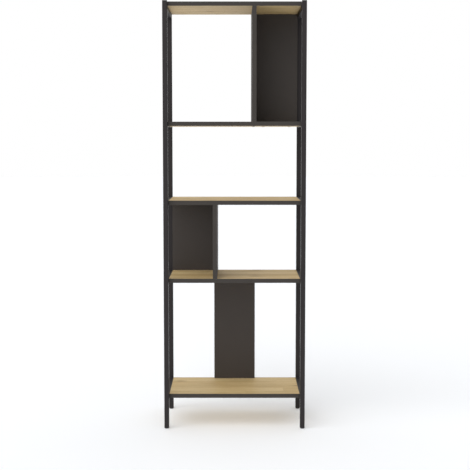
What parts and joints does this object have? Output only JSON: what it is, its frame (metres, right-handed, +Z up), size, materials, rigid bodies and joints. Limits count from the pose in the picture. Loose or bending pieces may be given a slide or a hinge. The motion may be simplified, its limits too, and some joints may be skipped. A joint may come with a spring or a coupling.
{
  "type": "open bookcase",
  "caption": "Tall narrow open bookcase: square-tube steel side frames, oak-look shelves with dark edges, offset dividers and part back panels.",
  "frame": {"origin": "on the floor, in the middle of the footprint", "axes": "+Z up to the posts' tops, front towards -Y, +X to the right seen from the front"},
  "size_m": [0.605, 0.35, 1.808],
  "materials": {
    "coated_steel": "satin anthracite powder coat",
    "oak_board": "matt oak decor on chipboard",
    "dark_edging": "matt anthracite edge band",
    "dark_board": "matt anthracite melamine on chipboard",
    "black_plastic": "moulded, fine grain",
    "dark_bolt": "blackened steel",
    "zinc_steel": "bright zinc plate"
  },
  "bodies": {
    "bookcase": {"post_front_left": "coated_steel", "foot_insert_front_left": "black_plastic", "post_front_right": "coated_steel", "foot_insert_front_right": "black_plastic", "post_rear_left": "coated_steel", "foot_insert_rear_left": "black_plastic", "post_rear_right": "coated_steel", "foot_insert_rear_right": "black_plastic", "shelf_1": "oak_board", "shelf_edging_1": "dark_edging", "side_rail_left_1": "coated_steel", "shelf_bolt_left_1_front": "dark_bolt", "shelf_bolt_left_1_rear": "dark_bolt", "side_rail_right_1": "coated_steel", "shelf_bolt_right_1_front": "dark_bolt", "shelf_bolt_right_1_rear": "dark_bolt", "shelf_2": "oak_board", "shelf_edging_2": "dark_edging", "side_rail_left_2": "coated_steel", "shelf_bolt_left_2_front": "dark_bolt", "shelf_bolt_left_2_rear": "dark_bolt", "side_rail_right_2": "coated_steel", "shelf_bolt_right_2_front": "dark_bolt", "shelf_bolt_right_2_rear": "dark_bolt", "shelf_3": "oak_board", "shelf_edging_3": "dark_edging", "side_rail_left_3": "coated_steel", "shelf_bolt_left_3_front": "dark_bolt", "shelf_bolt_left_3_rear": "dark_bolt", "side_rail_right_3": "coated_steel", "shelf_bolt_right_3_front": "dark_bolt", "shelf_bolt_right_3_rear": "dark_bolt", "shelf_4": "oak_board", "shelf_edging_4": "dark_edging", "side_rail_left_4": "coated_steel", "shelf_bolt_left_4_front": "dark_bolt", "shelf_bolt_left_4_rear": "dark_bolt", "side_rail_right_4": "coated_steel", "shelf_bolt_right_4_front": "dark_bolt", "shelf_bolt_right_4_rear": "dark_bolt", "shelf_5": "oak_board", "shelf_edging_5": "dark_edging", "side_rail_left_5": "coated_steel", "shelf_bolt_left_5_front": "dark_bolt", "shelf_bolt_left_5_rear": "dark_bolt", "side_rail_right_5": "coated_steel", "shelf_bolt_right_5_front": "dark_bolt", "shelf_bolt_right_5_rear": "dark_bolt", "divider_upper": "dark_board", "divider_middle": "dark_board", "back_panel_upper": "dark_board", "back_panel_middle": "dark_board", "back_panel_lower": "dark_board", "wall_bracket": "zinc_steel", "bracket_screw_left": "zinc_steel", "bracket_screw_right": "zinc_steel"},
    "foot_front_left": {"levelling_foot_front_left": "black_plastic"},
    "foot_front_right": {"levelling_foot_front_right": "black_plastic"},
    "foot_rear_left": {"levelling_foot_rear_left": "black_plastic"},
    "foot_rear_right": {"levelling_foot_rear_right": "black_plastic"}
  },
  "joints": [
    {"name": "foot_travel_front_left", "type": "slide", "parent": "bookcase", "child": "foot_front_left", "axis": [0, 0, -1], "range_m": [0, 0.01]},
    {"name": "foot_travel_front_right", "type": "slide", "parent": "bookcase", "child": "foot_front_right", "axis": [0, 0, -1], "range_m": [0, 0.01]},
    {"name": "foot_travel_rear_left", "type": "slide", "parent": "bookcase", "child": "foot_rear_left", "axis": [0, 0, -1], "range_m": [0, 0.01]},
    {"name": "foot_travel_rear_right", "type": "slide", "parent": "bookcase", "child": "foot_rear_right", "axis": [0, 0, -1], "range_m": [0, 0.01]}
  ]
}
